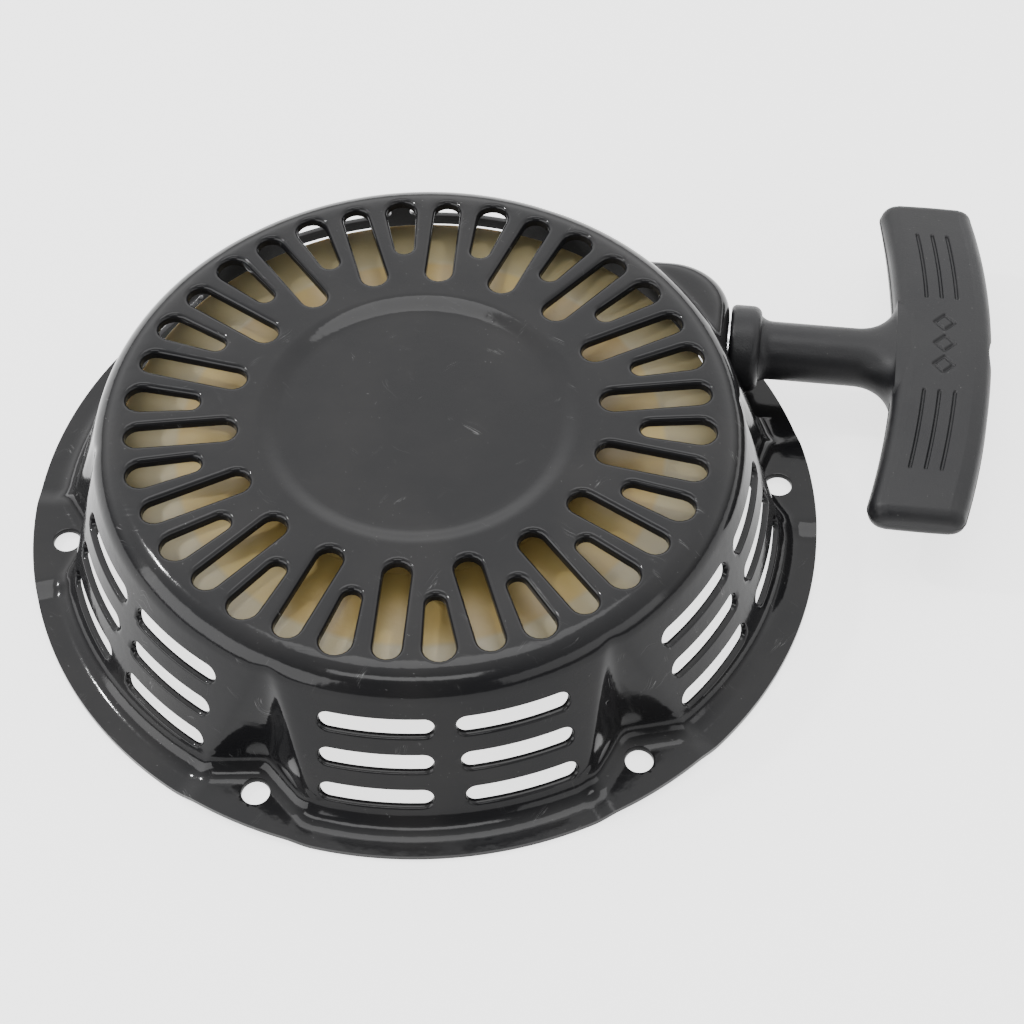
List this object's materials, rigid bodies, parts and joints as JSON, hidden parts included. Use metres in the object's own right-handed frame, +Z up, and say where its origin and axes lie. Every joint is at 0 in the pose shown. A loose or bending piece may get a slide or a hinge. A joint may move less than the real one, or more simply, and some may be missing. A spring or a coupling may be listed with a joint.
{
  "type": "recoil starter",
  "caption": "Recoil starter for a small engine: vented pressed steel cover with a rope reel, recoil spring and pawls inside and a T grip on the rope.",
  "frame": {"origin": "centre of the mounting bolt circle, on the plane the flange rests on; the undersides of the bolt pads are 1.2 mm above it", "axes": "+Z up out of the cover's top along the reel's axis, +X the direction in which the rope is pulled"},
  "size_m": [0.2638, 0.2236, 0.046],
  "materials": {
    "black_enamel": "gloss",
    "zinc_steel": "satin",
    "eyelet_chrome": "polished",
    "natural_nylon": "satin",
    "spring_steel": "satin",
    "braided_rope": "woven",
    "black_grip": "matte",
    "pawl_steel": "satin",
    "guide_zinc": "satin",
    "bolt_zinc": "satin"
  },
  "bodies": {
    "case": {"housing": "black_enamel", "post_plate": "black_enamel", "reel_post": "zinc_steel", "rope_eyelet": "eyelet_chrome", "thrust_washer": "zinc_steel", "centre_bolt": "bolt_zinc"},
    "reel": {"reel": "natural_nylon", "recoil_spring": "spring_steel", "rope_winding": "braided_rope", "rope_knot_reel": "braided_rope", "pawl_spring_1": "spring_steel", "pawl_spring_2": "spring_steel"},
    "guide": {"ratchet_guide": "guide_zinc", "friction_spring": "spring_steel"},
    "pawl_1": {"pawl_1": "pawl_steel"},
    "pawl_2": {"pawl_2": "pawl_steel"},
    "handle": {"grip": "black_grip", "rope_run": "braided_rope", "rope_knot_grip": "braided_rope", "grip_washer": "zinc_steel"}
  },
  "joints": [
    {"name": "reel_spin", "type": "hinge", "parent": "case", "child": "reel", "pos_m": [0, 0, 0.024], "axis": [0, 0, -1], "range_deg": [0, 1440], "stiffness_Nm_per_rad": 0.05, "springref_deg": -687.55},
    {"name": "handle_pull", "type": "slide", "parent": "case", "child": "handle", "axis": [1, 0, 0], "range_m": [0, 1.2]},
    {"name": "guide_turn", "type": "hinge", "parent": "reel", "child": "guide", "pos_m": [0, 0, 0.0072], "axis": [0, 0, 1], "range_deg": [0, 28], "stiffness_Nm_per_rad": 0.02, "springref_deg": -5.73},
    {"name": "pawl_1_swing", "type": "hinge", "parent": "reel", "child": "pawl_1", "pos_m": [0.024, 0, 0.0106], "axis": [0, 0, 1], "range_deg": [0, 38]},
    {"name": "pawl_2_swing", "type": "hinge", "parent": "reel", "child": "pawl_2", "pos_m": [-0.024, 0, 0.0106], "axis": [0, 0, 1], "range_deg": [0, 38]}
  ],
  "couplings": [
    {"joint": "handle_pull", "follows": "reel_spin", "m_per_rad": 0.0475},
    {"joint": "pawl_1_swing", "follows": "guide_turn", "ratio": 1.3571},
    {"joint": "pawl_2_swing", "follows": "guide_turn", "ratio": 1.3571}
  ]
}
